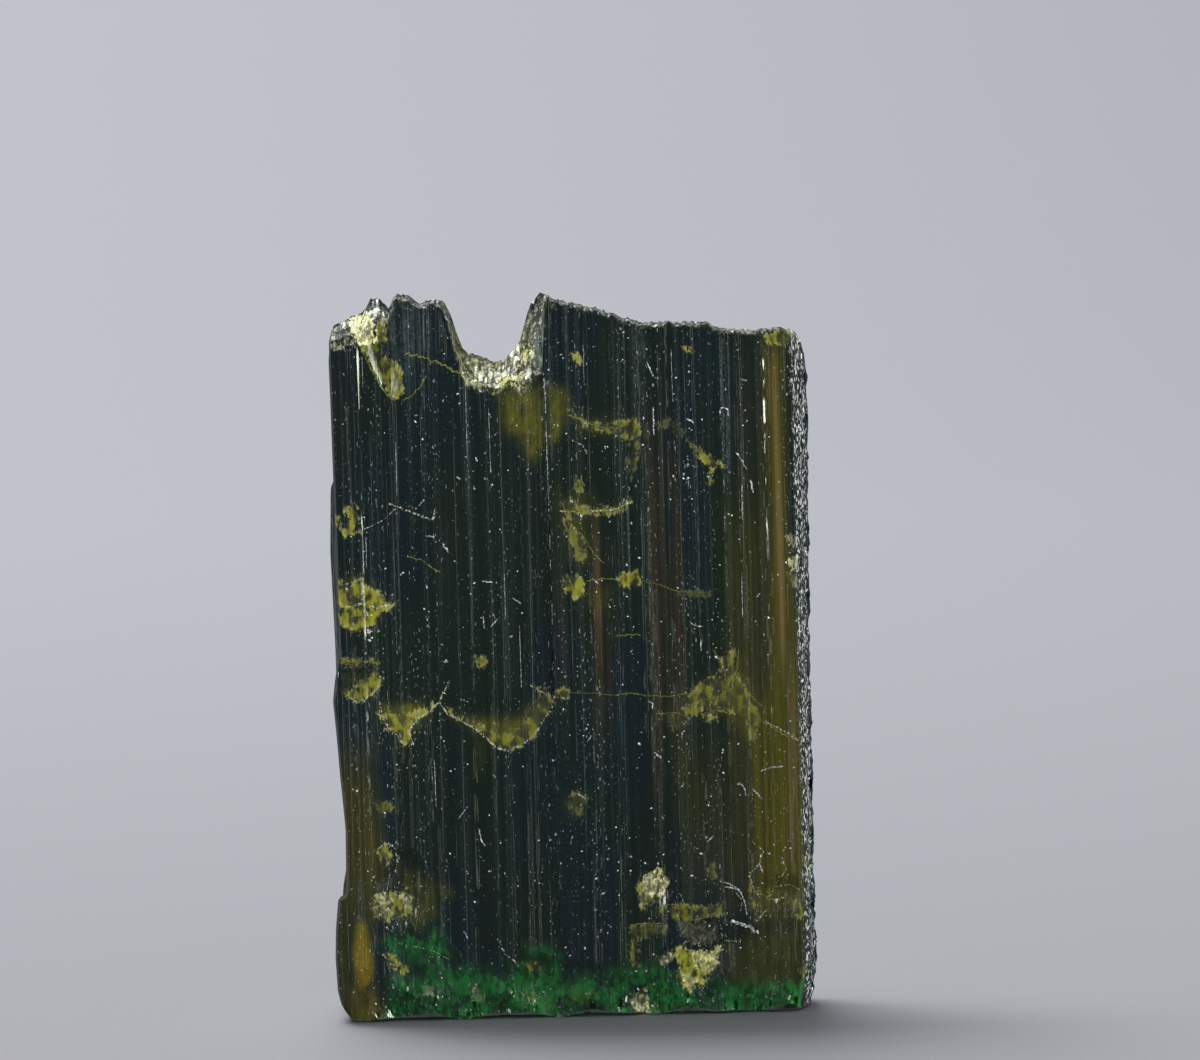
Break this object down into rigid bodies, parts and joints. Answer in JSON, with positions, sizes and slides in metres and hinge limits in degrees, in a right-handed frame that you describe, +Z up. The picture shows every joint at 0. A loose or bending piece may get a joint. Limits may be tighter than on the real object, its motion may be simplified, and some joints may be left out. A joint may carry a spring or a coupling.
{
  "type": "epidote crystal",
  "caption": "Flat striated epidote crystal blade, dark pistachio green, with a broken head, a scooped notch and a flat broken foot to stand on.",
  "frame": {"origin": "middle of the flat foot that the crystal stands on, at the centre of the outline seen from above", "axes": "+Z up along the striations, +X to the right across the broad front face, +Y through the thickness from the front face to the back face"},
  "size_m": [0.0196, 0.0078, 0.0292],
  "materials": {
    "epidote": "glassy"
  },
  "bodies": {
    "root": {"epidote_crystal": "epidote"}
  },
  "joints": []
}
